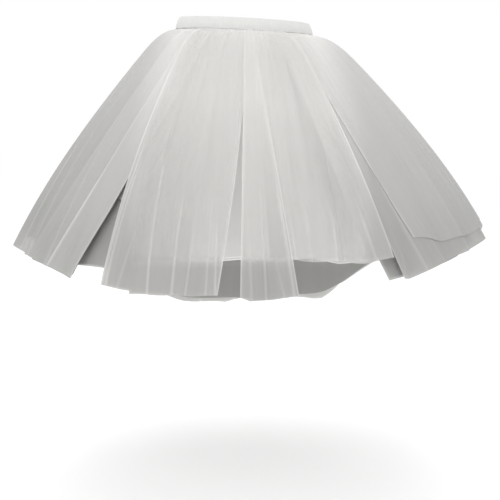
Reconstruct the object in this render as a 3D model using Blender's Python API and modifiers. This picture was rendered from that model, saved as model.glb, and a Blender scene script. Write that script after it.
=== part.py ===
# Tutu skirt in white tulle over a satin lining, held open as it is worn.
# Metres, +Z up. The origin is the middle of the waist opening, half way up the waistband.
# Angles run anticlockwise from above: 0 is +X, 90 the centre back, 270 the centre front.
import math

import bmesh
import bpy
import numpy as np

# Waist: an oval of about 78 cm round, lower at the front and at +X
WAIST_HALF_WIDTH = 0.147
WAIST_HALF_DEPTH = 0.100
WAIST_FRONT_DIP = 0.0093
WAIST_SIDE_DIP = 0.0072
BAND_HEIGHT = 0.025
BAND_BULGE = 0.0012

# Cloth walls
BAND_WALL = 0.002
TULLE_WALL = 0.001
LINING_WALL = 0.001
SEAM_GAP = 0.0003

# Tulle: how far it is cut from the seam to the hem
FRONT_LENGTH = 0.600
BACK_LENGTH = 0.710

# Tulle flare: the share of its length that goes outwards, on each side
FLARE_RIGHT = 0.695
FLARE_LEFT = 0.645
FLARE_FRONT = 0.56
FLARE_BACK = 0.11
FLARE_FALL = 0.30
SPRING_LEFT = 0.055
SPRING_RIGHT = 0.072
PROFILE_STEPS = 96

# The longer back: where it begins and is complete, in degrees from the side
BACK_BEGINS = 36.0
BACK_COMPLETE = 73.0

# Rings of the tulle, by their distance from the seam; the hem is one more
RING_DISTANCES = (0.0, 0.012, 0.028, 0.048, 0.075, 0.112, 0.160, 0.225, 0.300, 0.385, 0.475)

# Layers lie on each other at the seam and stand apart at the hem
LAYER_STEP = 0.0014
FOLD_GROWTH = 1.25

# Lining: an A-line tube of satin that hangs nearly upright at its hem
LINING_LENGTH_RIGHT = 0.520
LINING_LENGTH_LEFT = 0.505
LINING_LENGTH_FRONT = 0.478
LINING_LENGTH_BACK = 0.490
LINING_HEM_RIGHT = 0.290
LINING_HEM_LEFT = 0.260
LINING_HEM_FRONT = 0.188
LINING_HEM_BACK = 0.136
LINING_FLARE_POWER = 1.8
LINING_WAVES = 7
LINING_WAVE_HEIGHT = 0.004

# Mesh density
OUTER_STEP_DEG = 2.05
UNDER_STEP_DEG = 4.4
LINING_COLUMNS = 56
LINING_ROWS = 8
BAND_COLUMNS = 64
BAND_ROWS = 2

# Tulle pieces, from the outermost in, each sewn on at the waist. The back and the under layer are
# widths of net joined edge to edge; every other side edge is free.
# Edges are angles at the waist and at the hem; level counts the layers above it at the seam;
# lift is how far it stands out of the skirt's main form at the hem; longer is added to its cut length
# at its first and at its last edge.
PANEL_COLUMNS = ("name", "start_waist", "start_hem", "end_waist", "end_hem",
                 "level", "lift", "longer_start", "longer_end")
PANELS = (
    ("tulle_front", 270.2, 269.6, 276.0, 279.8, 0, 0.020, 0.011, 0.011),
    ("tulle_front_left", 234.5, 241.8, 272.7, 265.5, 1, 0.010, 0.010, 0.007),
    ("tulle_front_right", 274.0, 275.5, 301.0, 301.4, 1, 0.010, -0.056, -0.050),
    ("tulle_back_right", 14.0, 16.0, 89.94, 89.96, 1, 0.010, 0.0, 0.0),
    ("tulle_back_left", 90.06, 90.04, 166.0, 164.0, 1, 0.010, 0.0, 0.0),
    ("tulle_left", 159.0, 157.0, 251.0, 232.0, 2, 0.0, 0.0, 0.004),
    ("tulle_right", 292.5, 305.1, 381.0, 383.0, 2, 0.0, 0.002, -0.030),
)
UNDER_PANELS = (
    ("tulle_under_right", -70.0, -57.7, 39.94, 41.96, 3, -0.023, -0.009, -0.016),
    ("tulle_under_back", 40.06, 42.04, 147.94, 149.96, 3, -0.023, -0.016, -0.023),
    ("tulle_under_left", 148.06, 150.04, 259.0, 258.0, 3, -0.023, -0.023, -0.030),
)

# Folds of the outer tulle: the angle of each one's crest or trough at the hem, its half width
# in degrees, its height in mm (a trough is below nought) and how far under the seam it starts.
FOLD_COLUMNS = ("angle", "half_width", "height", "starts")
FOLDS = (
    (358.5, 5.4, 14.0, 0.06), (8.0, 4.5, -9.0, 0.16), (17.0, 5.0, 11.0, 0.06),
    (27.0, 6.0, -11.0, 0.12), (37.0, 5.5, 12.0, 0.05), (46.5, 5.0, -8.0, 0.20),
    (56.0, 6.5, 14.0, 0.08), (67.0, 5.0, -9.0, 0.10), (76.0, 5.5, 10.0, 0.14),
    (86.0, 6.0, -10.0, 0.04), (96.0, 5.5, 12.0, 0.10), (106.0, 5.5, -8.0, 0.18),
    (115.0, 5.0, 10.0, 0.07), (125.0, 6.5, -12.0, 0.10), (136.0, 6.0, 13.0, 0.05),
    (146.0, 5.0, -8.0, 0.15), (155.0, 5.5, 11.0, 0.12), (165.0, 5.5, -10.0, 0.06),
    (175.0, 5.0, 9.0, 0.18), (184.0, 5.5, -9.0, 0.10), (193.0, 5.0, 11.0, 0.08),
    (201.5, 4.5, -8.0, 0.14), (212.5, 4.5, 10.0, 0.12), (217.8, 3.0, -9.0, 0.10),
    (223.3, 3.5, 10.0, 0.16), (228.3, 2.6, -6.0, 0.30), (233.5, 3.0, 5.0, 0.20),
    (241.5, 2.6, 7.0, 0.12), (246.2, 3.2, -8.0, 0.20), (251.0, 2.8, 8.0, 0.22),
    (254.2, 2.4, -5.0, 0.30), (257.2, 2.6, 8.0, 0.24), (260.8, 2.6, -7.0, 0.18),
    (264.2, 2.4, 7.0, 0.30), (267.4, 3.0, -13.0, 0.03), (271.6, 2.6, 7.0, 0.08),
    (275.2, 2.4, -5.0, 0.24), (279.2, 2.6, 7.0, 0.20), (284.2, 3.4, -7.0, 0.12),
    (289.3, 3.0, 8.0, 0.28), (293.0, 2.6, -9.0, 0.05), (297.2, 2.8, 6.0, 0.20),
    (301.6, 2.8, 7.0, 0.10), (306.6, 3.2, -6.0, 0.20), (312.4, 4.0, 9.0, 0.22),
    (318.6, 3.6, -7.0, 0.16), (325.2, 4.2, 9.0, 0.12), (332.8, 4.0, -8.0, 0.20),
    (341.0, 4.4, 10.0, 0.10), (349.5, 4.2, -7.0, 0.22),
)
UNDER_FOLDS = 19
UNDER_FOLD_HEIGHT = 0.0055
UNDER_FOLD_UNEVEN = 0.35
UNDER_FOLD_TURNS = 4
UNDER_FOLD_SHIFT = 1.0
WELD_DISTANCE = 0.00005

# Cloth look: base colour and roughness
TULLE_COLOUR = (0.62, 0.62, 0.61, 1.0)
TULLE_ROUGHNESS = 0.75
LINING_COLOUR = (0.76, 0.76, 0.75, 1.0)
LINING_ROUGHNESS = 0.42
BAND_COLOUR = (0.80, 0.80, 0.79, 1.0)
BAND_ROUGHNESS = 0.62


def smooth(value):
    """Ease from 0 to 1 as value goes from 0 to 1."""
    value = min(max(value, 0.0), 1.0)
    return value * value * (3.0 - 2.0 * value)


def back_share(angle):
    """0 at the front and the sides, 1 at the centre back."""
    height = math.degrees(math.asin(math.sin(math.radians(angle))))
    return smooth((height - BACK_BEGINS) / (BACK_COMPLETE - BACK_BEGINS))


def right_share(angle):
    """0 at the -X side, 1 at the +X side."""
    return smooth((math.cos(math.radians(angle)) + 1.0) / 2.0)


def flare_shares(angle):
    """Share of the tulle's length that goes sideways, and the share that goes to front or back."""
    side = FLARE_LEFT + (FLARE_RIGHT - FLARE_LEFT) * right_share(angle)
    rear = smooth((math.sin(math.radians(angle)) + 1.0) / 2.0)
    end = FLARE_FRONT + (FLARE_BACK - FLARE_FRONT) * rear
    return side, end


def tulle_length(angle):
    """Cut length of the tulle from the seam to the hem at this angle."""
    return FRONT_LENGTH + (BACK_LENGTH - FRONT_LENGTH) * back_share(angle)


def waist_height(angle):
    """Height of the waistband's middle line at this angle."""
    turn = math.radians(angle)
    return WAIST_FRONT_DIP * math.sin(turn) - WAIST_SIDE_DIP * math.cos(turn)


def flare_slope(distance, share, spring_length):
    """Slope outwards at this distance from the seam: level where it springs out, then falling."""
    spring = np.exp(-(distance / spring_length) ** 2)
    hang = share * (1.0 - FLARE_FALL * (distance / FRONT_LENGTH) ** 2)
    return hang + (1.0 - share) * spring


def tulle_point(distance, angle, lift):
    """Point of a tulle layer: its distance from the seam, its angle, its lift off the main form.

    The cloth keeps its length: what it does not go outwards it goes down."""
    turn = math.radians(angle)
    across = math.cos(turn)
    along = math.sin(turn)
    side_share, end_share = flare_shares(angle)
    spring_length = SPRING_LEFT + (SPRING_RIGHT - SPRING_LEFT) * right_share(angle)
    steps = distance * (np.arange(PROFILE_STEPS) + 0.5) / PROFILE_STEPS
    side_slope = flare_slope(steps, side_share, spring_length)
    end_slope = flare_slope(steps, end_share, spring_length)
    slope = np.hypot(side_slope * across, end_slope * along)
    fall = np.sqrt(1.0 - slope * slope)
    half_width = WAIST_HALF_WIDTH + distance * side_slope.mean()
    half_depth = WAIST_HALF_DEPTH + distance * end_slope.mean()
    down = distance * fall.mean()
    facing = math.hypot(half_depth * across, half_width * along)
    reach = lift * fall[-1] / facing
    x = half_width * across + reach * half_depth * across
    y = half_depth * along + reach * half_width * along
    z = waist_height(angle) - BAND_HEIGHT / 2 - SEAM_GAP - down + lift * slope[-1]
    return x, y, z


def outer_fold(distance, angle):
    """Height of the outer tulle's folds at this place."""
    height = 0.0
    for row in FOLDS:
        fold = dict(zip(FOLD_COLUMNS, row))
        away = (angle - fold["angle"] + 180.0) % 360.0 - 180.0
        if abs(away) < 2.0 * fold["half_width"] and distance > fold["starts"]:
            grown = (distance - fold["starts"]) / (FRONT_LENGTH - fold["starts"])
            bell = math.cos(math.pi * away / (4.0 * fold["half_width"])) ** 2
            height += 0.001 * fold["height"] * bell * grown ** FOLD_GROWTH
    return height


def under_fold(distance, angle):
    """Height of the under layer's softer folds at this place."""
    turn = math.radians(angle)
    uneven = UNDER_FOLD_UNEVEN * math.sin(UNDER_FOLD_TURNS * turn + UNDER_FOLD_SHIFT)
    wave = math.cos(UNDER_FOLDS * turn + uneven)
    return UNDER_FOLD_HEIGHT * wave * (distance / FRONT_LENGTH) ** FOLD_GROWTH


def panel_point(panel, fold, across, ring):
    """Point of a tulle piece: across it from 0 to 1, and on this ring or else on its hem."""
    longer = panel["longer_start"] + (panel["longer_end"] - panel["longer_start"]) * across
    if ring < len(RING_DISTANCES):
        distance = RING_DISTANCES[ring]
    else:
        hem_angle = panel["start_hem"] + (panel["end_hem"] - panel["start_hem"]) * across
        distance = tulle_length(hem_angle) + longer
    along = distance / FRONT_LENGTH
    start = panel["start_waist"] + (panel["start_hem"] - panel["start_waist"]) * along
    end = panel["end_waist"] + (panel["end_hem"] - panel["end_waist"]) * along
    angle = start + (end - start) * across
    at_seam = -panel["level"] * LAYER_STEP
    lift = at_seam + (panel["lift"] - at_seam) * along
    return tulle_point(distance, angle, lift + fold(distance, angle))


def lining_point(across, along):
    """Point of the lining, round it from 0 to 1 and along it from the seam to the hem."""
    angle = 360.0 * across
    turn = math.radians(angle)
    is_right = math.cos(turn) > 0.0
    is_back = math.sin(turn) > 0.0
    hem_width = LINING_HEM_RIGHT if is_right else LINING_HEM_LEFT
    hem_depth = LINING_HEM_BACK if is_back else LINING_HEM_FRONT
    side_length = LINING_LENGTH_RIGHT if is_right else LINING_LENGTH_LEFT
    end_length = LINING_LENGTH_BACK if is_back else LINING_LENGTH_FRONT
    length = side_length * math.cos(turn) ** 2 + end_length * math.sin(turn) ** 2
    flare = 1.0 - (1.0 - along) ** LINING_FLARE_POWER
    wave = LINING_WAVE_HEIGHT * math.sin(LINING_WAVES * turn) * along * along
    width = WAIST_HALF_WIDTH + (hem_width - WAIST_HALF_WIDTH) * flare + wave
    depth = WAIST_HALF_DEPTH + (hem_depth - WAIST_HALF_DEPTH) * flare + wave
    layers_above = UNDER_PANELS[0][PANEL_COLUMNS.index("level")] + 1
    top = waist_height(angle) - BAND_HEIGHT / 2 - 2.0 * SEAM_GAP - layers_above * LAYER_STEP
    sideways = (width - WAIST_HALF_WIDTH) * math.cos(turn)
    endways = (depth - WAIST_HALF_DEPTH) * math.sin(turn)
    down = math.sqrt((length * along) ** 2 - sideways ** 2 - endways ** 2)
    return width * math.cos(turn), depth * math.sin(turn), top - down


def band_point(across, along):
    """Point of the waistband, round it from 0 to 1 and from its top edge to its lower edge."""
    angle = 360.0 * across
    turn = math.radians(angle)
    bulge = BAND_BULGE * math.sin(math.pi * along)
    x = (WAIST_HALF_WIDTH + bulge) * math.cos(turn)
    y = (WAIST_HALF_DEPTH + bulge) * math.sin(turn)
    return x, y, waist_height(angle) + BAND_HEIGHT * (0.5 - along)


def cloth_material(name, colour, roughness):
    """Cloth: a Principled material with this colour and roughness."""
    material = bpy.data.materials.new(name)
    material.use_nodes = True
    shader = material.node_tree.nodes["Principled BSDF"]
    shader.inputs["Base Color"].default_value = colour
    shader.inputs["Roughness"].default_value = roughness
    shader.inputs["Metallic"].default_value = 0.0
    material.diffuse_color = colour
    return material


def cloth_wall(name, point, columns, rows, closed, wall, inset, material, collection):
    """A sheet of cloth laid by point(across, along), as a wall with its thickness inwards.

    A closed sheet is a tube: its two side edges are welded."""
    mesh = bpy.data.meshes.new(name)
    sheet = bmesh.new()
    bmesh.ops.create_grid(sheet, x_segments=columns, y_segments=rows, size=0.5)
    for vertex in sheet.verts:
        across = vertex.co.x + 0.5
        along = 0.5 - vertex.co.y
        vertex.co = point(across, along)
    if closed:
        bmesh.ops.remove_doubles(sheet, verts=sheet.verts, dist=WELD_DISTANCE)
    for face in sheet.faces:
        face.smooth = True
    sheet.to_mesh(mesh)
    sheet.free()
    mesh.materials.append(material)
    cloth = bpy.data.objects.new(name, mesh)
    collection.objects.link(cloth)
    solidify = cloth.modifiers.new("Wall", "SOLIDIFY")
    solidify.thickness = wall
    solidify.offset = inset
    solidify.use_even_offset = True
    solidify.use_quality_normals = True
    return cloth


def tulle_panel(row, fold, step, material, collection):
    """One piece of tulle from its row of the table."""
    panel = dict(zip(PANEL_COLUMNS, row))
    columns = round((panel["end_hem"] - panel["start_hem"]) / step)
    rows = len(RING_DISTANCES)

    def point(across, along):
        return panel_point(panel, fold, across, round(along * rows))

    return cloth_wall(panel["name"], point, columns, rows, False, TULLE_WALL, -1.0, material, collection)


def main():
    for old in list(bpy.data.objects):
        bpy.data.objects.remove(old, do_unlink=True)
    skirt = bpy.data.collections.new("tutu_skirt")
    bpy.context.scene.collection.children.link(skirt)
    tulle = cloth_material("tulle", TULLE_COLOUR, TULLE_ROUGHNESS)
    satin = cloth_material("satin", LINING_COLOUR, LINING_ROUGHNESS)
    elastic = cloth_material("elastic", BAND_COLOUR, BAND_ROUGHNESS)
    cloth_wall("waistband", band_point, BAND_COLUMNS, BAND_ROWS, True, BAND_WALL, 0.0, elastic, skirt)
    cloth_wall("lining", lining_point, LINING_COLUMNS, LINING_ROWS, True, LINING_WALL, 0.0, satin, skirt)
    for row in UNDER_PANELS:
        tulle_panel(row, under_fold, UNDER_STEP_DEG, tulle, skirt)
    for row in PANELS:
        tulle_panel(row, outer_fold, OUTER_STEP_DEG, tulle, skirt)


main()
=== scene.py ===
import math
import bpy
import numpy as np
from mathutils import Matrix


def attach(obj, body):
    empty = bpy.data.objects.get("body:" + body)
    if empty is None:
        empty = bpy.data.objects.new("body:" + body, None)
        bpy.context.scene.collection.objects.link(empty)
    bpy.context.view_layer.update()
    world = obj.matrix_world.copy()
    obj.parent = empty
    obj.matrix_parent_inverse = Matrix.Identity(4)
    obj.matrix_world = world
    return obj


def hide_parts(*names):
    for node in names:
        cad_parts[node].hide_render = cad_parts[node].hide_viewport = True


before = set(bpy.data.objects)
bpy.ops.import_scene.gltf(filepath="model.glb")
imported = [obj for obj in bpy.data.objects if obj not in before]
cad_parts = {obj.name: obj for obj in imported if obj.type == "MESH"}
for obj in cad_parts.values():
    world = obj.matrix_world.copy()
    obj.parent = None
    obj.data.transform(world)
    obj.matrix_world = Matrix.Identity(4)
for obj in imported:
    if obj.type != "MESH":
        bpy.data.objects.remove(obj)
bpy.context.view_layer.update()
print("frame loaded")

# The tables below give heights in mm, for short rows; everything else is in metres
millimetre = 0.001

# The skirt's main form, in metres and degrees: 0 is +X, 90 the centre back, 270 the centre front
form = {
    "waistHalfWidth": 0.147, "waistHalfDepth": 0.100,
    "waistFrontDip": 0.0093, "waistSideDip": 0.0072,
    "bandHeight": 0.025, "seamGap": 0.0003,
    "frontLength": 0.600, "backLength": 0.710, "backBegins": 36.0, "backComplete": 73.0,
    "flareRight": 0.695, "flareLeft": 0.645, "flareFront": 0.56, "flareBack": 0.11,
    "flareFall": 0.30, "springLeft": 0.055, "springRight": 0.072,
    "profileSteps": 64, "layerStep": 0.0014, "foldGrowth": 1.25, "creaseGrows": 0.10,
}

# Large folds of the outer tulle: angle at the hem, half width in degrees, height in mm, start in m
outerFolds = (
    (358.5, 5.4, 14.0, 0.06), (8.0, 4.5, -9.0, 0.16), (17.0, 5.0, 11.0, 0.06),
    (27.0, 6.0, -11.0, 0.12), (37.0, 5.5, 12.0, 0.05), (46.5, 5.0, -8.0, 0.20),
    (56.0, 6.5, 14.0, 0.08), (67.0, 5.0, -9.0, 0.10), (76.0, 5.5, 10.0, 0.14),
    (86.0, 6.0, -10.0, 0.04), (96.0, 5.5, 12.0, 0.10), (106.0, 5.5, -8.0, 0.18),
    (115.0, 5.0, 10.0, 0.07), (125.0, 6.5, -12.0, 0.10), (136.0, 6.0, 13.0, 0.05),
    (146.0, 5.0, -8.0, 0.15), (155.0, 5.5, 11.0, 0.12), (165.0, 5.5, -10.0, 0.06),
    (175.0, 5.0, 9.0, 0.18), (184.0, 5.5, -9.0, 0.10), (193.0, 5.0, 11.0, 0.08),
    (201.5, 4.5, -8.0, 0.14), (212.5, 4.5, 10.0, 0.12), (217.8, 3.0, -9.0, 0.10),
    (223.3, 3.5, 10.0, 0.16), (228.3, 2.6, -6.0, 0.30), (233.5, 3.0, 5.0, 0.20),
    (241.5, 2.6, 7.0, 0.12), (246.2, 3.2, -8.0, 0.20), (251.0, 2.8, 8.0, 0.22),
    (254.2, 2.4, -5.0, 0.30), (257.2, 2.6, 8.0, 0.24), (260.8, 2.6, -7.0, 0.18),
    (264.2, 2.4, 7.0, 0.30), (267.4, 3.0, -13.0, 0.03), (271.6, 2.6, 7.0, 0.08),
    (275.2, 2.4, -5.0, 0.24), (279.2, 2.6, 7.0, 0.20), (284.2, 3.4, -7.0, 0.12),
    (289.3, 3.0, 8.0, 0.28), (293.0, 2.6, -9.0, 0.05), (297.2, 2.8, 6.0, 0.20),
    (301.6, 2.8, 7.0, 0.10), (306.6, 3.2, -6.0, 0.20), (312.4, 4.0, 9.0, 0.22),
    (318.6, 3.6, -7.0, 0.16), (325.2, 4.2, 9.0, 0.12), (332.8, 4.0, -8.0, 0.20),
    (341.0, 4.4, 10.0, 0.10), (349.5, 4.2, -7.0, 0.22),
)
# The under layer's folds; it stands out further where the outer pieces leave it bare
underFolds = {
    "count": 19, "height": 0.0055, "uneven": 0.35, "unevenTurns": 4.0, "unevenFrom": 1.0,
    "riseGrowth": 1.0, "rise": ((236.0, 4.5, 13.0, 0.10), (305.0, 3.5, 4.0, 0.10)),
}

# Creases and turned edges pressed into the net: angle where each starts and at the hem, half width
# in degrees, height in mm, start in m
creases = (
    (209.5, 212.6, 0.40, 1.0, 0.24), (221.2, 223.0, 0.40, 1.2, 0.28),
    (229.4, 224.4, 0.30, 2.0, 0.34), (240.0, 241.9, 0.30, 1.8, 0.28),
    (241.0, 242.7, 0.25, 1.4, 0.32), (247.6, 251.9, 0.28, 1.8, 0.30),
    (255.6, 256.9, 0.28, 1.8, 0.38), (259.8, 259.4, 0.22, 1.2, 0.44),
    (262.8, 263.2, 0.25, 1.4, 0.38), (264.2, 264.9, 0.25, 1.6, 0.42),
    (246.0, 245.0, 0.25, 1.0, 0.46), (271.0, 271.6, 0.25, 1.0, 0.42),
    (274.0, 274.2, 0.25, 1.2, 0.36), (277.6, 279.0, 0.30, 1.8, 0.36),
    (280.2, 280.4, 0.25, 1.4, 0.42), (275.6, 277.2, 0.20, 1.0, 0.50),
    (290.4, 287.8, 0.30, 2.0, 0.42), (293.2, 289.2, 0.35, -1.4, 0.30),
    (284.2, 283.6, 0.25, 1.0, 0.40), (296.4, 297.0, 0.25, 1.0, 0.40),
    (304.6, 309.8, 0.30, 1.2, 0.30), (311.0, 316.9, 0.30, 1.0, 0.46),
    (306.5, 303.6, 0.25, 1.2, 0.50), (325.0, 327.0, 0.35, 0.8, 0.32),
    (341.0, 342.2, 0.35, 1.0, 0.28), (12.0, 12.8, 0.40, 1.8, 0.25), (24.0, 23.2, 0.40, 2.0, 0.30),
    (41.0, 41.8, 0.40, 1.8, 0.24), (53.0, 52.4, 0.35, 2.0, 0.30), (63.0, 64.0, 0.40, 1.6, 0.22),
    (79.0, 78.2, 0.40, 2.2, 0.26), (92.0, 92.8, 0.35, 1.6, 0.32), (103.0, 102.2, 0.40, 2.0, 0.24),
    (118.0, 118.8, 0.35, 1.8, 0.30), (131.0, 130.4, 0.40, 2.0, 0.22),
    (142.0, 142.9, 0.35, 1.6, 0.28), (158.0, 157.2, 0.40, 2.0, 0.24),
    (171.0, 171.8, 0.35, 1.8, 0.30), (187.0, 186.2, 0.40, 2.0, 0.22),
    (198.0, 198.8, 0.35, 1.6, 0.28),
)


def smooth(value):
    value = np.clip(value, 0.0, 1.0)
    return value * value * (3.0 - 2.0 * value)


def between(first, last, share):
    return first + (last - first) * share


def fromTable(angle, table, before=None):
    places, values = zip(*table)
    return np.interp(angle, places, values, left=before)


def turnAway(angle, middle):
    return (angle - middle + 180.0) % 360.0 - 180.0


def tulleLength(angle):
    # The tulle is cut longer over the back than over the front and the sides
    height = np.degrees(np.arcsin(np.sin(np.radians(angle))))
    backShare = smooth((height - form["backBegins"]) / (form["backComplete"] - form["backBegins"]))
    return between(form["frontLength"], form["backLength"], backShare)


def waistHeight(angle):
    # The waist is lower at the front and at +X
    turn = np.radians(angle)
    return form["waistFrontDip"] * np.sin(turn) - form["waistSideDip"] * np.cos(turn)


def flareSlope(distance, share, spring):
    # How far out the cloth runs for each metre along it
    hang = share * (1.0 - form["flareFall"] * (distance / form["frontLength"]) ** 2)
    return hang + (1.0 - share) * np.exp(-(distance / spring) ** 2)


def formPoint(distance, angle, lift):
    # The cloth springs out level from the seam, then falls; it keeps its length
    turn = np.radians(angle)
    across, along = np.cos(turn), np.sin(turn)
    rightShare = smooth((across + 1.0) / 2.0)
    backShare = smooth((along + 1.0) / 2.0)
    side = between(form["flareLeft"], form["flareRight"], rightShare)
    end = between(form["flareFront"], form["flareBack"], backShare)
    spring = between(form["springLeft"], form["springRight"], rightShare)
    share = (np.arange(form["profileSteps"]) + 0.5) / form["profileSteps"]
    steps = distance[..., None] * share
    sideSlope = flareSlope(steps, side[..., None], spring[..., None])
    endSlope = flareSlope(steps, end[..., None], spring[..., None])
    slope = np.hypot(sideSlope * across[..., None], endSlope * along[..., None])
    fall = np.sqrt(1.0 - np.minimum(slope, 1.0) ** 2)
    halfWidth = form["waistHalfWidth"] + distance * sideSlope.mean(-1)
    halfDepth = form["waistHalfDepth"] + distance * endSlope.mean(-1)
    facing = np.hypot(halfDepth * across, halfWidth * along)
    reach = lift * fall[..., -1] / facing
    x = halfWidth * across + reach * halfDepth * across
    y = halfDepth * along + reach * halfWidth * along
    seam = waistHeight(angle) - form["bandHeight"] / 2 - form["seamGap"]
    z = seam - distance * fall.mean(-1) + lift * slope[..., -1]
    return np.stack([x, y, z], -1)


def rowFolds(table, distance, angle, growth):
    # Each row of the table is one crest or trough, growing from where it starts to the hem
    height = np.zeros_like(angle)
    for middle, halfWidth, tall, starts in table:
        away = turnAway(angle, middle)
        bell = np.where(np.abs(away) < 2.0 * halfWidth,
                        np.cos(np.pi * away / (4.0 * halfWidth)) ** 2, 0.0)
        grown = np.clip((distance - starts) / (form["frontLength"] - starts), 0.0, None) ** growth
        height += millimetre * tall * bell * grown
    return height


def creaseBells(distance, angle):
    # Each crease as a narrow bell round its slanting path, with its height
    for first, last, halfWidth, tall, starts in creases:
        path = first + (last - first) * (distance - starts) / (form["frontLength"] - starts)
        bell = np.exp(-(turnAway(angle, path) / halfWidth) ** 2)
        yield bell * smooth((distance - starts) / form["creaseGrows"]), tall


def unevenWaves(angle, count, seed, spread=0.35, parts=4):
    # A row of gathers, none like its neighbour: nearby wave counts beat against each other
    dice = np.random.default_rng(seed)
    wave = np.zeros_like(angle)
    for _ in range(parts):
        turns = count * (1.0 + spread * (dice.random() - 0.5))
        wave += np.sin(np.radians(angle) * turns + 2.0 * np.pi * dice.random())
    return wave / math.sqrt(parts)


# Gathers round the whole skirt: their number, height, and over what distance they come in or fade
gathers = {
    "waistCount": 150, "waistHeight": 0.0008, "waistGrows": 0.006, "waistFade": 0.045,
    "middleCount": 44, "middleHeight": 0.0008, "middleGrows": 0.22,
    "rippleCount": 120, "rippleHeight": 0.00015, "rippleGrows": 0.35,
}


def gatherHeight(distance, angle, seed):
    # Fine gathers at the band run together into fewer, wider ones lower down
    waist = unevenWaves(angle, gathers["waistCount"], seed)
    waist = waist * (1.0 - np.exp(-(distance / gathers["waistGrows"])))
    waist = waist * np.exp(-distance / gathers["waistFade"])
    middle = unevenWaves(angle, gathers["middleCount"], seed + 1)
    middle = middle * smooth(distance / gathers["middleGrows"])
    ripple = unevenWaves(angle, gathers["rippleCount"], seed + 2)
    ripple = ripple * smooth(distance / gathers["rippleGrows"])
    return (gathers["waistHeight"] * waist + gathers["middleHeight"] * middle
            + gathers["rippleHeight"] * ripple)


def hexColour(code):
    # From sRGB to the linear colour that shaders take
    parts = [int(code[i:i + 2], 16) / 255.0 for i in (1, 3, 5)]
    return [p / 12.92 if p <= 0.04045 else ((p + 0.055) / 1.055) ** 2.4 for p in parts] + [1.0]


def addNode(tree, kind, settings=None, links=None):
    node = tree.nodes.new(kind)
    for key, value in (settings or {}).items():
        if isinstance(key, str) and hasattr(node, key) and key not in node.inputs:
            setattr(node, key, value)
        else:
            node.inputs[key].default_value = value
    for key, source in (links or {}).items():
        tree.links.new(source, node.inputs[key])
    return node


def newMaterial(name):
    material = bpy.data.materials.new(name)
    material.use_nodes = True
    material.node_tree.nodes.clear()
    return material, material.node_tree


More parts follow.
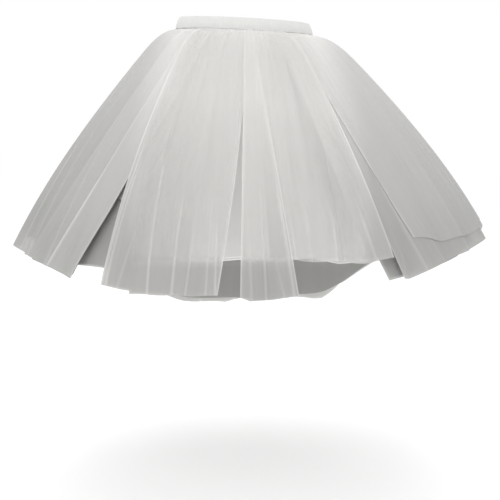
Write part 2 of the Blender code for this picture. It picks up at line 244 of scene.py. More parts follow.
def makeTulle():
    # Nylon tulle: a hexagonal net of fine white yarn, knitted and stiffened. Matt with a faint dry
    # glint; light comes through its holes and its yarn. The cell is 1.6 mm across. The UV map
    # "nets" says how many nets lie on each other at each place, and the painted light and shade
    # that whitens or greys them there.
    look = {
        "yarn": "#e2e1df", "paintedShadeGrey": "#989795", "roughness": 0.62, "ior": 1.53, "specular": 0.3,
        "sheen": 0.06, "sheenRoughness": 0.5, "through": 0.15, "bump": 0.15, "bumpHeight": 0.0002,
        "cell": 0.0016, "yarnTo": -1.0, "holeFrom": 0.4,
        "yarnCover": 0.62, "holeCover": 0.10, "meanOpen": 0.72,
        "streakWide": 110.0, "streakLong": 2.5, "streakDetail": 2.0,
        "streakLow": 0.3, "streakHigh": 0.7, "streakDepth": 0.10,
    }
    material, tree = newMaterial("tulleNylonNet")
    place = addNode(tree, "ShaderNodeUVMap", {"uv_map": "cloth"})
    # Three rows of waves, 60 degrees apart, add up to hexagonal cells: low on yarn, high in a hole
    pitch = 2.0 * math.pi / (look["cell"] * math.sin(math.radians(60.0)))
    waves = []
    for degrees in (0.0, 60.0, 120.0):
        turn = math.radians(degrees)
        way = (pitch * math.cos(turn), pitch * math.sin(turn), 0.0)
        dot = addNode(tree, "ShaderNodeVectorMath", {"operation": "DOT_PRODUCT", 1: way},
                      {0: place.outputs["UV"]})
        waves.append(addNode(tree, "ShaderNodeMath", {"operation": "COSINE"},
                             {0: dot.outputs["Value"]}))
    pair = addNode(tree, "ShaderNodeMath", {"operation": "ADD"},
                   {0: waves[0].outputs[0], 1: waves[1].outputs[0]})
    net = addNode(tree, "ShaderNodeMath", {"operation": "ADD"},
                  {0: pair.outputs[0], 1: waves[2].outputs[0]})
    openShare = addNode(tree, "ShaderNodeMapRange", {
        "From Min": look["yarnTo"], "From Max": look["holeFrom"],
        "To Min": 1.0 - look["yarnCover"], "To Max": 1.0 - look["holeCover"]},
        {"Value": net.outputs[0]})
    nets = addNode(tree, "ShaderNodeUVMap", {"uv_map": "nets"})
    split = addNode(tree, "ShaderNodeSeparateXYZ", None, {0: nets.outputs["UV"]})
    # Fine streaks along the cloth, where the nets lie closer or further apart
    stretch = addNode(tree, "ShaderNodeMapping",
                      {"Scale": (look["streakWide"], look["streakLong"], 1.0)},
                      {"Vector": place.outputs["UV"]})
    streak = addNode(tree, "ShaderNodeTexNoise", {"Scale": 1.0, "Detail": look["streakDetail"]},
                     {"Vector": stretch.outputs[0]})
    uneven = addNode(tree, "ShaderNodeMapRange", {
        "From Min": look["streakLow"], "From Max": look["streakHigh"],
        "To Min": 1.0 - look["streakDepth"], "To Max": 1.0 + look["streakDepth"]},
        {"Value": streak.outputs["Fac"]})
    count = addNode(tree, "ShaderNodeMath", {"operation": "MULTIPLY"},
                    {0: split.outputs["X"], 1: uneven.outputs["Result"]})
    # The top net is drawn with its holes, and those under it as their mean
    allNets = addNode(tree, "ShaderNodeMath", {"operation": "POWER", 0: look["meanOpen"]},
                      {1: count.outputs[0]})
    topNet = addNode(tree, "ShaderNodeMath", {"operation": "DIVIDE", 1: look["meanOpen"]},
                     {0: openShare.outputs["Result"]})
    seeThrough = addNode(tree, "ShaderNodeMath", {"operation": "MULTIPLY", "use_clamp": True},
                         {0: allNets.outputs[0], 1: topNet.outputs[0]})
    bump = addNode(tree, "ShaderNodeBump", {
        "Strength": look["bump"], "Distance": look["bumpHeight"], "invert": True},
        {"Height": net.outputs[0]})
    # Painted light and shade: the second value of "nets" mixes a painted shade grey with the yarn's
    # white
    toneAndPaintedLight = addNode(tree, "ShaderNodeMix", {
        "data_type": "RGBA", 6: hexColour(look["paintedShadeGrey"]), 7: hexColour(look["yarn"])},
        {0: split.outputs["Y"]})
    yarn = addNode(tree, "ShaderNodeBsdfPrincipled", {
        "Roughness": look["roughness"], "IOR": look["ior"], "Sheen Weight": look["sheen"],
        "Sheen Roughness": look["sheenRoughness"], "Specular IOR Level": look["specular"]},
        {"Base Color": toneAndPaintedLight.outputs[2], "Normal": bump.outputs[0]})
    glow = addNode(tree, "ShaderNodeBsdfTranslucent", None, {"Color": toneAndPaintedLight.outputs[2]})
    cloth = addNode(tree, "ShaderNodeMixShader", {0: look["through"]},
                    {1: yarn.outputs[0], 2: glow.outputs[0]})
    hole = addNode(tree, "ShaderNodeBsdfTransparent")
    whole = addNode(tree, "ShaderNodeMixShader", None,
                    {0: seeThrough.outputs[0], 1: cloth.outputs[0], 2: hole.outputs[0]})
    addNode(tree, "ShaderNodeOutputMaterial", None, {"Surface": whole.outputs[0]})
    return material


def addThreads(tree, look):
    # Threads or ribs as waves across the cloth, and its two tones in soft patches
    place = addNode(tree, "ShaderNodeUVMap", {"uv_map": "cloth"})
    pitch = 2.0 * math.pi / look["thread"]
    dot = addNode(tree, "ShaderNodeVectorMath", {
        "operation": "DOT_PRODUCT", 1: (pitch, pitch * look["slant"], 0.0)},
        {0: place.outputs["UV"]})
    thread = addNode(tree, "ShaderNodeMath", {"operation": "SINE"}, {0: dot.outputs["Value"]})
    patches = addNode(tree, "ShaderNodeTexNoise", {
        "Scale": look["patchScale"], "Detail": look["patchDetail"]},
        {"Vector": place.outputs["UV"]})
    toneAndPaintedLight = addNode(tree, "ShaderNodeMix", {
        "data_type": "RGBA", 6: hexColour(look["face"]), 7: hexColour(look["second"])},
        {0: patches.outputs["Fac"]})
    return thread, toneAndPaintedLight


def addFace(tree, look, thread, toneAndPaintedLight):
    bump = addNode(tree, "ShaderNodeBump", {
        "Strength": look["bump"], "Distance": look["bumpHeight"]}, {"Height": thread.outputs[0]})
    face = addNode(tree, "ShaderNodeBsdfPrincipled", {
        "Roughness": look["roughness"], "IOR": look["ior"], "Sheen Weight": look["sheen"],
        "Sheen Roughness": look["sheenRoughness"]},
        {"Base Color": toneAndPaintedLight.outputs[2], "Normal": bump.outputs[0]})
    addNode(tree, "ShaderNodeOutputMaterial", None, {"Surface": face.outputs[0]})


def makeSatin():
    # Polyester satin, woven with long floats: smooth, with a broad soft sheen. The real thread
    # spacing is about 0.1 mm; the weave is drawn at 0.8 mm so that it shows from close by.
    # Its hem is turned up 6 mm: the fold and the row of stitches are painted as bright lines,
    # painted highlights where they catch the light. Each of these lines is given by its middle and
    # half its width, in metres from the hem.
    look = {
        "face": "#dddcda", "second": "#d4d3d1", "patchScale": 14.0, "patchDetail": 3.0,
        "roughness": 0.42, "sheen": 0.30, "sheenRoughness": 0.35, "ior": 1.5,
        "thread": 0.0008, "slant": 0.25, "bump": 0.2, "bumpHeight": 0.0002,
        "paintedHemHighlight": "#f6f6f4", "fold": (0.0, 0.0018), "stitches": (0.0062, 0.0009),
    }
    material, tree = newMaterial("satinPolyester")
    thread, toneAndPaintedLight = addThreads(tree, look)
    fromHem = addNode(tree, "ShaderNodeUVMap", {"uv_map": "fromHem"})
    split = addNode(tree, "ShaderNodeSeparateXYZ", None, {0: fromHem.outputs["UV"]})
    lines = []
    for middle, halfWidth in (look["fold"], look["stitches"]):
        lines.append(addNode(tree, "ShaderNodeMath", {
            "operation": "COMPARE", 1: middle, 2: halfWidth}, {0: split.outputs["X"]}))
    onHighlight = addNode(tree, "ShaderNodeMath", {"operation": "MAXIMUM"},
                     {0: lines[0].outputs[0], 1: lines[1].outputs[0]})
    # Painted highlight: the fold and stitch lines are painted a brighter white
    withPaintedHighlight = addNode(tree, "ShaderNodeMix", {
        "data_type": "RGBA", 7: hexColour(look["paintedHemHighlight"])},
        {0: onHighlight.outputs[0], 6: toneAndPaintedLight.outputs[2]})
    addFace(tree, look, thread, withPaintedHighlight)
    return material


def makeElastic():
    # Elastic in a knitted polyester casing: matt, with fine upright ribs about 1.2 mm apart.
    look = {
        "face": "#d2d2d0", "second": "#c8c8c6", "patchScale": 60.0, "patchDetail": 3.0,
        "roughness": 0.66, "sheen": 0.35, "sheenRoughness": 0.5, "ior": 1.5,
        "thread": 0.0012, "slant": 0.0, "bump": 0.35, "bumpHeight": 0.0003,
    }
    material, tree = newMaterial("elasticKnitCasing")
    thread, toneAndPaintedLight = addThreads(tree, look)
    addFace(tree, look, thread, toneAndPaintedLight)
    return material


def clothMesh(name, points, maps, material):
    # A sheet of cloth from its grid of points, with UV maps: "cloth" is metres on the flat cloth
    rows, columns = points.shape[:2]
    index = np.arange(rows * columns).reshape(rows, columns)
    faces = np.stack([index[:-1, :-1], index[1:, :-1], index[1:, 1:], index[:-1, 1:]], -1)
    mesh = bpy.data.meshes.new(name)
    mesh.from_pydata(points.reshape(-1, 3).tolist(), [], faces.reshape(-1, 4).tolist())
    corners = np.empty(len(mesh.loops), dtype=np.int32)
    mesh.loops.foreach_get("vertex_index", corners)
    for mapName, values in maps.items():
        layer = mesh.uv_layers.new(name=mapName)
        layer.data.foreach_set("uv", values.reshape(-1, 2)[corners].astype(np.float32).ravel())
    mesh.shade_smooth()
    mesh.materials.append(material)
    piece = bpy.data.objects.new(name, mesh)
    bpy.context.scene.collection.objects.link(piece)
    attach(piece, "root")
    return piece


def rowLength(points):
    # Length of each row of a grid, measured along the cloth
    return np.linalg.norm(np.diff(points, axis=1), axis=2).sum(1)


# The satin lining: cut lengths, half widths at its hem, its soft waves and rucks, its turned hem,
# and what is added to its length at these angles
lining = {
    "lengthRight": 0.520, "lengthLeft": 0.505, "lengthFront": 0.478, "lengthBack": 0.490,
    "hemRight": 0.290, "hemLeft": 0.260, "hemFront": 0.188, "hemBack": 0.136, "flarePower": 1.8,
    "waves": 7, "waveHeight": 0.004, "layersAbove": 4, "columns": 400, "rows": 110,
    "rucks": 44, "ruckHeight": 0.0012, "ruckSeed": 5, "ruckGrows": 6.0, "ruckFade": 0.5,
    "backWaves": 5.0, "backWaveHeight": 0.002, "backWaveFrom": 1.0,
    "hemTurn": 0.006, "hemStep": 0.0008,
    "hemUneven": ((180.0, -0.002), (184.0, -0.002), (223.5, -0.007), (237.5, -0.003),
                  (245.8, 0.003), (253.8, 0.006), (261.2, -0.001), (268.0, -0.004),
                  (273.2, -0.001), (278.0, 0.0), (286.0, -0.002), (291.5, -0.009), (299.5, -0.014),
                  (302.5, -0.010), (313.8, -0.003), (325.2, -0.006), (352.0, -0.006),
                  (360.0, -0.003)),
}

# The tulle's 17 plies, two of them short and seen between the pieces. Each row: the nodes that it
# stands for; its edges at the waist and at the hem, in degrees; lift off the main form at the seam
# and at the hem; nets, how many layers of net it stands for; how much whiter the ply is painted,
# painted light that sets lit plies apart from the shaded ones set back under them; the seed of its
# gathers; free, which of its side edges are turned edges; longer, what is added to the cut length
# at these hem angles.
underNodes = ("tulle_under_left", "tulle_under_back", "tulle_under_right")
backNodes = ("tulle_back_left", "tulle_back_right")
tullePlies = (
    {"name": "tulleLeft1", "node": ("tulle_left",),
     "waist": (159.0, 251.0), "hem": (157.0, 232.3), "lift": (-0.0020, -0.002),
     "nets": 1.0, "toneAndPaintedLight": 0.07, "seed": 11, "free": (1, 1),
     "longer": ((157.0, 0.008), (187.6, 0.014), (201.2, 0.002), (213.9, -0.006), (214.4, -0.002),
                (224.6, -0.002), (231.6, 0.0))},
    {"name": "tulleLeft2", "node": ("tulle_left",),
     "waist": (224.0, 250.6), "hem": (212.9, 232.6), "lift": (-0.0014, 0.001),
     "nets": 1.0, "toneAndPaintedLight": 0.16, "seed": 11, "free": (0, 1),
     "longer": ((212.0, -0.005), (224.9, -0.001), (232.0, 0.008))},
    {"name": "tulleLeft3", "node": ("tulle_left",),
     "waist": (236.0, 250.2), "hem": (224.0, 232.9), "lift": (-0.0010, 0.004),
     "nets": 1.2, "toneAndPaintedLight": 0.2, "seed": 11, "free": (1, 1),
     "longer": ((223.0, -0.005), (232.5, 0.006))},
    {"name": "tulleFrontLeft1", "node": ("tulle_front_left",),
     "waist": (235.7, 271.8), "hem": (242.9, 264.9), "lift": (-0.0012, 0.008),
     "nets": 1.0, "toneAndPaintedLight": 0.15, "seed": 21, "free": (1, 1),
     "longer": ((243.0, 0.007), (247.9, 0.008), (248.1, 0.014), (265.0, 0.008))},
    {"name": "tulleFrontLeft2", "node": ("tulle_front_left",),
     "waist": (234.5, 272.7), "hem": (241.8, 265.5), "lift": (-0.0006, 0.011),
     "nets": 1.0, "toneAndPaintedLight": 0.15, "seed": 22, "free": (1, 1),
     "longer": ((241.8, 0.010), (247.8, 0.012), (248.0, 0.018), (255.5, 0.015), (257.9, 0.013),
                (265.5, 0.009))},
    {"name": "tulleFront1", "node": ("tulle_front",),
     "waist": (270.6, 275.6), "hem": (270.0, 279.4), "lift": (-0.0005, 0.018),
     "nets": 1.0, "toneAndPaintedLight": 0.09, "seed": 31, "free": (1, 1),
     "longer": ((270.0, 0.010), (272.0, 0.018), (279.4, 0.010))},
    {"name": "tulleFront2", "node": ("tulle_front",),
     "waist": (270.2, 276.0), "hem": (269.6, 279.8), "lift": (0.0, 0.021),
     "nets": 1.0, "toneAndPaintedLight": 0.09, "seed": 32, "free": (1, 1),
     "longer": ((269.6, 0.013), (271.4, 0.021), (278.4, 0.015), (279.8, 0.013))},
    {"name": "tulleFrontRight1", "node": ("tulle_front_right",),
     "waist": (274.2, 300.6), "hem": (275.8, 299.9), "lift": (-0.0012, 0.008),
     "nets": 1.0, "toneAndPaintedLight": 0.17, "seed": 41, "free": (1, 1),
     "longer": ((275.0, -0.060), (284.0, -0.053), (290.0, -0.046), (300.0, -0.040))},
    {"name": "tulleFrontRight2", "node": ("tulle_front_right",),
     "waist": (274.0, 301.0), "hem": (275.5, 300.6), "lift": (-0.0006, 0.011),
     "nets": 1.0, "toneAndPaintedLight": 0.17, "seed": 42, "free": (1, 1),
     "longer": ((275.0, -0.056), (284.0, -0.048), (290.0, -0.042), (294.5, -0.035),
                (301.0, -0.036))},
    {"name": "tulleRight1", "node": ("tulle_right",),
     "waist": (292.5, 381.0), "hem": (303.0, 383.0), "lift": (-0.0020, -0.002),
     "nets": 1.2, "toneAndPaintedLight": 0.08, "seed": 51, "free": (1, 1),
     "longer": ((303.0, 0.003), (304.5, 0.004), (315.3, -0.008), (320.8, -0.012),
                (321.3, -0.012), (340.0, -0.005), (345.7, -0.002), (352.0, -0.006),
                (383.0, -0.030))},
    {"name": "tulleRight2", "node": ("tulle_right",),
     "waist": (297.0, 372.0), "hem": (311.0, 372.0), "lift": (-0.0014, -0.0008),
     "nets": 1.2, "toneAndPaintedLight": 0.18, "seed": 51, "free": (1, 1),
     "longer": ((311.0, -0.069), (320.6, -0.048), (338.2, -0.033), (355.0, -0.024),
                (372.0, -0.030))},
    {"name": "tulleBack1", "node": backNodes,
     "waist": (14.6, 165.4), "hem": (16.6, 163.4), "lift": (-0.0012, 0.008),
     "nets": 1.6, "toneAndPaintedLight": 0.18, "seed": 61, "free": (1, 1),
     "longer": ((16.0, -0.006), (53.0, -0.014), (64.4, -0.022), (69.6, -0.003), (72.4, -0.003),
                (76.0, -0.010), (91.4, -0.016), (95.4, -0.001), (164.0, -0.006))},
    {"name": "tulleBack2", "node": backNodes,
     "waist": (14.0, 166.0), "hem": (16.0, 164.0), "lift": (-0.0006, 0.011),
     "nets": 1.6, "toneAndPaintedLight": 0.18, "seed": 62, "free": (1, 1),
     "longer": ((16.0, 0.0), (53.0, -0.009), (64.4, -0.016), (69.6, 0.003), (72.4, 0.002),
                (76.0, -0.004), (91.4, -0.010), (95.4, 0.005), (110.0, 0.0), (164.0, 0.0))},
    {"name": "tulleShortLeft", "node": ("tulle_under_left",),
     "waist": (232.0, 246.0), "hem": (229.0, 246.5), "lift": (-0.0026, -0.012),
     "nets": 2.0, "toneAndPaintedLight": 0.30, "seed": 81, "free": (0, 0),
     "longer": ((229.0, -0.172), (238.2, -0.158), (241.5, -0.143), (246.5, -0.120))},
    {"name": "tulleShortRight", "node": ("tulle_under_right",),
     "waist": (291.0, 306.0), "hem": (297.0, 313.0), "lift": (-0.0026, -0.012),
     "nets": 1.6, "toneAndPaintedLight": 0.22, "seed": 82, "free": (0, 0),
     "longer": ((297.0, -0.060), (304.0, -0.075), (313.0, -0.110))},
    {"name": "tulleUnder1", "node": underNodes,
     "waist": (-71.0, 258.6), "hem": (-58.4, 257.6), "lift": (-0.0036, -0.026),
     "nets": 0.8, "toneAndPaintedLight": 0.0, "seed": 71, "free": (1, 1),
     "longer": ((-59.0, -0.006), (-50.0, -0.010), (-20.0, -0.016), (40.0, -0.022),
                (52.0, -0.032), (64.0, -0.032), (90.0, -0.026), (150.0, -0.027), (230.0, -0.025),
                (238.0, -0.030), (258.0, -0.034))},
    {"name": "tulleUnder2", "node": underNodes,
     "waist": (-72.0, 259.0), "hem": (-59.2, 258.0), "lift": (-0.0030, -0.023),
     "nets": 0.8, "toneAndPaintedLight": 0.0, "seed": 72, "free": (1, 1),
     "longer": ((-59.0, -0.002), (-50.0, -0.006), (-20.0, -0.012), (40.0, -0.018),
                (52.0, -0.028), (64.0, -0.028), (90.0, -0.022), (150.0, -0.023), (230.0, -0.021),
                (238.0, -0.026), (258.0, -0.030))},
)
plyMesh = {
    "frontDegrees": 0.14, "hiddenDegrees": 0.28, "hiddenOver": 100.0, "rows": 64, "rowPower": 1.25,
}

# The satin as seen through the net from a point in front: how much narrower it looks through the
# nearest net, the line of its hem, and how softly its hem and sides end, softest near the waist
seen = {
    "from": 1.6, "nearest": 0.7, "hem": -0.540, "hemSlope": -0.173, "hemSoft": 0.016,
    "sideSoft": 0.012, "waistSoft": 0.12,
}

# How many nets lie on each other. Net is cut fuller than the band. It is denser at turned edges
# and creases, where "pressing" is what a height of 1 mm counts for, and drawn several times denser
# where no satin lies behind it, and over the back, so that the net's painted light and shade covers
# what lies behind it there.
density = {
    "cutFullness": 1.9, "steepest": 2.5, "steepPower": 1.5, "least": 0.3, "pressing": 0.5,
    "edgeNets": 2.2, "edgeWidth": 0.0018, "edgeStarts": 0.12, "edgeGrows": 0.25,
    "creaseNets": 0.6, "freeShadeNets": 7.0, "backNets": 1.5, "backStarts": 0.1, "backGrows": 0.3,
}

# Painted light and shade on the nets: painted light where they crowd at the seam or lie over the
# satin, on folds and creases and at the centre back; painted shade where one hangs free, and near
# the hem
paintedNetLight = {
    "least": 0.09, "overSatin": 0.24, "atSeam": 0.28, "seamOverSatin": 0.44, "seamReach": 0.37,
    "ridge": 0.30, "ridgeNets": 2.0, "ridgeGrows": 0.2, "crease": 0.13,
    "centreBack": 0.50, "centreStarts": 0.28, "centreGrows": 0.5,
    "hem": 0.07, "hemStarts": 0.42, "hemGrows": 0.15,
}


def liningBehind(points):
    # 1 where the satin lies behind the net, seen from the front or the back, else 0: the mask for
    # the net's painted light over the satin and its painted shade beside it
    side = np.where(points[..., 0] > 0.0, lining["hemRight"], lining["hemLeft"])
    down = np.clip(-points[..., 2] / lining["lengthFront"], 0.0, 1.0)
    flare = 1.0 - (1.0 - down) ** lining["flarePower"]
    halfWidth = between(form["waistHalfWidth"], side, flare)
    nearer = np.clip(1.0 + points[..., 1] / seen["from"], seen["nearest"], 1.0)
    soft = seen["sideSoft"] + seen["waistSoft"] * (1.0 - down)
    inside = smooth((halfWidth * nearer - np.abs(points[..., 0])) / soft + 0.5)
    hemBelow = seen["hem"] + seen["hemSlope"] * points[..., 1]
    above = smooth((points[..., 2] - hemBelow) / seen["hemSoft"])
    return inside * above


def isUnder(ply):
    return ply["name"].startswith("tulleUnder")


def plyGrid(ply):
    # Columns across the ply, closer rows near the seam
    wide = ply["hem"][1] - ply["hem"][0]
    hidden = wide > plyMesh["hiddenOver"]
    columns = int(wide / plyMesh["hiddenDegrees" if hidden else "frontDegrees"])
    across = np.linspace(0.0, 1.0, columns)
    down = np.linspace(0.0, 1.0, plyMesh["rows"]) ** plyMesh["rowPower"]
    across, down = np.meshgrid(across, down)
    hemAngle = between(ply["hem"][0], ply["hem"][1], across)
    distance = (tulleLength(hemAngle) + fromTable(hemAngle, ply["longer"])) * down
    along = distance / form["frontLength"]
    start = between(ply["waist"][0], ply["hem"][0], along)
    end = between(ply["waist"][1], ply["hem"][1], along)
    return distance, between(start, end, across), along, across


def steepness(points, smoothPoints):
    # How much longer the folded cloth is than the smooth form, between neighbouring columns
    tiny = 1e-6
    steps = np.linalg.norm(np.diff(points, axis=1), axis=2)
    smoothSteps = np.linalg.norm(np.diff(smoothPoints, axis=1), axis=2)
    return np.pad((steps + tiny) / (smoothSteps + tiny), ((0, 0), (0, 1)), mode="edge")


def pressedCreases(ply, distance, angle):
    pressed = np.zeros_like(angle)
    if not isUnder(ply):
        for bell, tall in creaseBells(distance, angle):
            pressed += density["pressing"] * tall * bell ** 2
    return pressed


def countNets(ply, points, smoothPoints, distance, angle, across):
    # How many nets lie on each other, and the painted light and shade that whitens or greys them
    rowWidth = rowLength(smoothPoints)[:, None]
    down = distance / distance.max()
    cutWidth = rowWidth[-1] * down + density["cutFullness"] * rowWidth[0] * (1.0 - down)
    steep = np.clip(steepness(points, smoothPoints), 1.0, density["steepest"])
    nets = ply["nets"] * np.maximum(cutWidth / rowWidth, 1.0) * steep ** density["steepPower"]
    place = across * rowWidth
    for isFree, away in zip(ply["free"], (place, rowWidth - place)):
        if isFree:
            edge = density["edgeNets"] * np.exp(-(away / density["edgeWidth"]) ** 2)
            nets = nets + edge * smooth((distance - density["edgeStarts"]) / density["edgeGrows"])
    pressed = pressedCreases(ply, distance, angle)
    nets = nets + density["creaseNets"] * pressed
    back = np.sin(np.radians(angle))
    facingBack = smooth((back - density["backStarts"]) / density["backGrows"])
    # Where no satin lies behind, the net is drawn denser so that its painted shade grey covers the
    # white beyond
    behind = liningBehind(smoothPoints)
    whenFree = between(1.0, density["freeShadeNets"], 1.0 - behind)
    nets = nets * between(1.0, density["backNets"], facingBack) * whenFree

    # Painted light: the nets are painted whiter where they crowd at the seam and where satin lies
    # behind them
    crowded = np.exp(-(distance / paintedNetLight["seamReach"]) ** 2)
    # Painted highlight: folds, turned edges and creases, where nets lie denser, are painted whiter
    ridge = (nets / (ply["nets"] * whenFree) - 1.0) / paintedNetLight["ridgeNets"]
    ridge = np.clip(ridge, 0.0, 1.0)
    paintedWhite = paintedNetLight["least"] + ply["toneAndPaintedLight"] + paintedNetLight["overSatin"] * behind
    paintedWhite = paintedWhite + (paintedNetLight["atSeam"] + paintedNetLight["seamOverSatin"] * behind) * crowded
    paintedWhite = paintedWhite + paintedNetLight["ridge"] * ridge * smooth(distance / paintedNetLight["ridgeGrows"])
    paintedWhite = paintedWhite + paintedNetLight["crease"] * pressed
    # Painted light over the centre back, which makes the inside of the back look lit
    if ply["node"] == backNodes:
        centre = smooth((back - paintedNetLight["centreStarts"]) / paintedNetLight["centreGrows"])
        paintedWhite = paintedWhite + paintedNetLight["centreBack"] * centre
    # Painted shade: the outer nets are painted greyer towards the hem, except over the back
    if not isUnder(ply):
        nearHem = smooth((distance - paintedNetLight["hemStarts"]) / paintedNetLight["hemGrows"])
        paintedWhite = paintedWhite - paintedNetLight["hem"] * nearHem * (1.0 - facingBack)
    return np.maximum(nets, density["least"]), np.clip(paintedWhite, 0.0, 1.0)


def foldedLift(ply, level, distance, angle, along):
    # The ply's level, with its large folds and creases
    if isUnder(ply):
        turn = np.radians(angle)
        uneven = underFolds["uneven"] * np.sin(
            underFolds["unevenTurns"] * turn + underFolds["unevenFrom"])
        wave = np.cos(underFolds["count"] * turn + uneven)
        lift = level + underFolds["height"] * wave * along ** form["foldGrowth"]
        return lift + rowFolds(underFolds["rise"], distance, angle, underFolds["riseGrowth"])
    lift = level + rowFolds(outerFolds, distance, angle, form["foldGrowth"])
    for bell, tall in creaseBells(distance, angle):
        lift = lift + millimetre * tall * bell
    return lift


def layPly(ply, material):
    distance, angle, along, across = plyGrid(ply)
    level = between(ply["lift"][0], ply["lift"][1], along)
    lift = foldedLift(ply, level, distance, angle, along)
    lift = lift + gatherHeight(distance, angle, ply["seed"])
    points = formPoint(distance, angle, lift)
    smoothPoints = formPoint(distance, angle, level)
    nets, paintedWhite = countNets(ply, points, smoothPoints, distance, angle, across)
    hemWidth = rowLength(points[-1:])[0]
    maps = {"cloth": np.stack([across * hemWidth, distance], -1),
            "nets": np.stack([nets, paintedWhite], -1)}
    piece = clothMesh(ply["name"], points, maps, material)
    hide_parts(*ply["node"])


def layLining(material):
    across, along = np.meshgrid(np.linspace(0.0, 1.0, lining["columns"]),
                                np.linspace(0.0, 1.0, lining["rows"]))
    angle = 360.0 * across
    turn = np.radians(angle)
    isRight, isBack = np.cos(turn) > 0.0, np.sin(turn) > 0.0
    hemWidth = np.where(isRight, lining["hemRight"], lining["hemLeft"])
    hemDepth = np.where(isBack, lining["hemBack"], lining["hemFront"])
    sideLength = np.where(isRight, lining["lengthRight"], lining["lengthLeft"])
    endLength = np.where(isBack, lining["lengthBack"], lining["lengthFront"])
    length = sideLength * np.cos(turn) ** 2 + endLength * np.sin(turn) ** 2
    length = length + fromTable(angle, lining["hemUneven"], before=0.0)
    backWave = np.sin(lining["backWaves"] * turn + lining["backWaveFrom"])
    length = length + lining["backWaveHeight"] * backWave * isBack * np.sin(turn)
    flare = 1.0 - (1.0 - along) ** lining["flarePower"]
    wave = lining["waveHeight"] * np.sin(lining["waves"] * turn) * along ** 2
    rucks = lining["ruckHeight"] * unevenWaves(angle, lining["rucks"], lining["ruckSeed"])
    wave += rucks * smooth(along * lining["ruckGrows"]) * (1.0 - lining["ruckFade"] * along)
    wave += lining["hemStep"] * ((1.0 - along) * length < lining["hemTurn"])
    width = between(form["waistHalfWidth"], hemWidth, flare) + wave
    depth = between(form["waistHalfDepth"], hemDepth, flare) + wave
    top = (waistHeight(angle) - form["bandHeight"] / 2 - 2.0 * form["seamGap"]
           - lining["layersAbove"] * form["layerStep"])
    reach = np.hypot((width - form["waistHalfWidth"]) * np.cos(turn),
                     (depth - form["waistHalfDepth"]) * np.sin(turn))
    down = np.sqrt((length * along) ** 2 - np.minimum(reach, length * along) ** 2)
    points = np.stack([width * np.cos(turn), depth * np.sin(turn), top - down], -1)
    hemRound = rowLength(points[-1:])[0]
    maps = {"cloth": np.stack([across * hemRound, along * length], -1),
            "fromHem": np.stack([(1.0 - along) * length, np.zeros_like(along)], -1)}
    piece = clothMesh("satinLining", points, maps, material)
    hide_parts("lining")


# The waistband's casing: it bulges a little, narrows upwards by its taper, and has fine puckers on
# the outside and a lower edge that waves a little
waistband = {
    "wall": 0.002, "bulge": 0.0012, "taper": 0.0042, "columns": 720, "rows": 22,
    "puckers": 150, "pucker": 0.00035, "puckerSeed": 3,
    "scallops": 21, "scallop": 0.0007, "scallopSeed": 9, "scallopSpread": 0.8,
}


def layWaistband(material):
    # A closed casing: up the inside, over the top, and down the outside
    around = np.linspace(0.0, 1.0, waistband["columns"])
    shares = np.linspace(0.0, 1.0, waistband["rows"])
    height = form["bandHeight"]
    loop = []
    for side, order in ((0.5, shares), (-0.5, shares[::-1])):
        for share in order:
            bulge = waistband["bulge"] * math.sin(math.pi * share)
            loop.append((side * waistband["wall"] + bulge, height * (share - 0.5)))
    loop.append(loop[0])
    out = np.array([p[0] for p in loop])[::-1, None]
    up = np.array([p[1] for p in loop])[::-1, None]
    angle = np.repeat(360.0 * around[None, :], len(loop), 0)
    turn = np.radians(angle)
    pucker = waistband["pucker"] * unevenWaves(angle, waistband["puckers"], waistband["puckerSeed"])
    pucker = pucker * np.cos(np.pi * np.clip(up / height, -0.5, 0.5)) ** 0.5 * (out > 0)
    out = out - waistband["taper"] * up / height * 2.0
    x = (form["waistHalfWidth"] + out + pucker) * np.cos(turn)
    y = (form["waistHalfDepth"] + out + pucker) * np.sin(turn)
    scallop = waistband["scallop"] * unevenWaves(
        angle, waistband["scallops"], waistband["scallopSeed"], waistband["scallopSpread"])
    z = waistHeight(angle) + up + scallop * np.clip(-2.0 * up / height, 0.0, 1.0)
    points = np.stack([x, y, z], -1)
    roundWaist = rowLength(points[:1])[0]
    path = np.concatenate([[0.0], np.cumsum(np.hypot(np.diff(out[:, 0]), np.diff(up[:, 0])))])
    cloth = np.stack([np.repeat(around[None, :] * roundWaist, len(loop), 0),
                      np.repeat(path[:, None], len(around), 1)], -1)
    piece = clothMesh("waistbandCasing", points, {"cloth": cloth}, material)
    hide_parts("waistband")


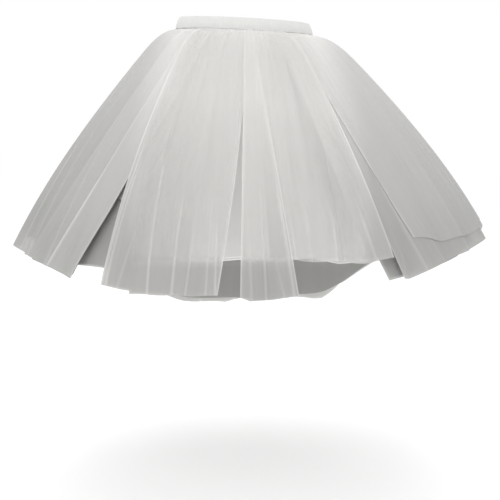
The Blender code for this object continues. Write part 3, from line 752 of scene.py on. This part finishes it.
def makeStudio():
    # Camera in front of the skirt's upper half, tilted a little down
    view = {"distance": 1.60, "sideways": 0.0127, "height": -0.2543, "tilt": 8.8, "lens": 50.0}
    floor = {"height": -1.0, "size": 60.0, "paper": "#ffffff"}
    # Each lamp's place, size in metres and power in watts; both aim at the skirt's middle
    lamps = {"keyLamp": ((-0.5, -2.8, 1.6), 2.4, 30.0), "topLamp": ((0.0, 0.6, 2.4), 3.0, 30.0)}
    aimHeight = -0.3
    # The many plies need many passes through clear holes
    bounces = {"transparent": 48, "all": 12, "diffuse": 6, "transmission": 8}
    scene = bpy.context.scene
    camera = bpy.data.cameras.new("camera")
    camera.lens = view["lens"]
    cameraObject = bpy.data.objects.new("camera", camera)
    cameraObject.location = (view["sideways"], -view["distance"], view["height"])
    cameraObject.rotation_euler = (math.radians(90.0 - view["tilt"]), 0.0, 0.0)
    scene.collection.objects.link(cameraObject)
    scene.camera = cameraObject
    bpy.ops.mesh.primitive_plane_add(size=floor["size"], location=(0.0, 0.0, floor["height"]))
    plane = bpy.context.object
    plane.name = "paleFloor"
    # White matt paper, without a pattern
    material, tree = newMaterial("whitePaper")
    paper = addNode(tree, "ShaderNodeBsdfDiffuse", {"Color": hexColour(floor["paper"])})
    addNode(tree, "ShaderNodeOutputMaterial", None, {"Surface": paper.outputs[0]})
    plane.data.materials.append(material)
    for name, (place, size, power) in lamps.items():
        lamp = bpy.data.lights.new(name, "AREA")
        lamp.size = size
        lamp.energy = power
        lampObject = bpy.data.objects.new(name, lamp)
        lampObject.location = place
        aim = np.array([0.0, 0.0, aimHeight]) - np.array(place)
        tip = math.atan2(math.hypot(aim[0], aim[1]), -aim[2])
        lampObject.rotation_euler = (tip, 0.0, math.atan2(aim[1], aim[0]) - math.pi / 2)
        scene.collection.objects.link(lampObject)
    world = bpy.data.worlds.new("studio")
    world.use_nodes = True
    tree = world.node_tree
    tree.nodes.clear()
    air = addNode(tree, "ShaderNodeBackground", {"Color": (1.0, 1.0, 1.0, 1.0), "Strength": 1.0})
    addNode(tree, "ShaderNodeOutputWorld", None, {"Surface": air.outputs[0]})
    scene.world = world
    scene.view_settings.view_transform = "Standard"
    scene.cycles.transparent_max_bounces = bounces["transparent"]
    scene.cycles.max_bounces = bounces["all"]
    scene.cycles.diffuse_bounces = bounces["diffuse"]
    scene.cycles.transmission_bounces = bounces["transmission"]


makeStudio()
print("studio made")
tulle = makeTulle()
satin = makeSatin()
elastic = makeElastic()
for ply in tullePlies:
    layPly(ply, tulle)
print("tulle laid")
layLining(satin)
print("lining hung")
layWaistband(elastic)
print("waistband made")
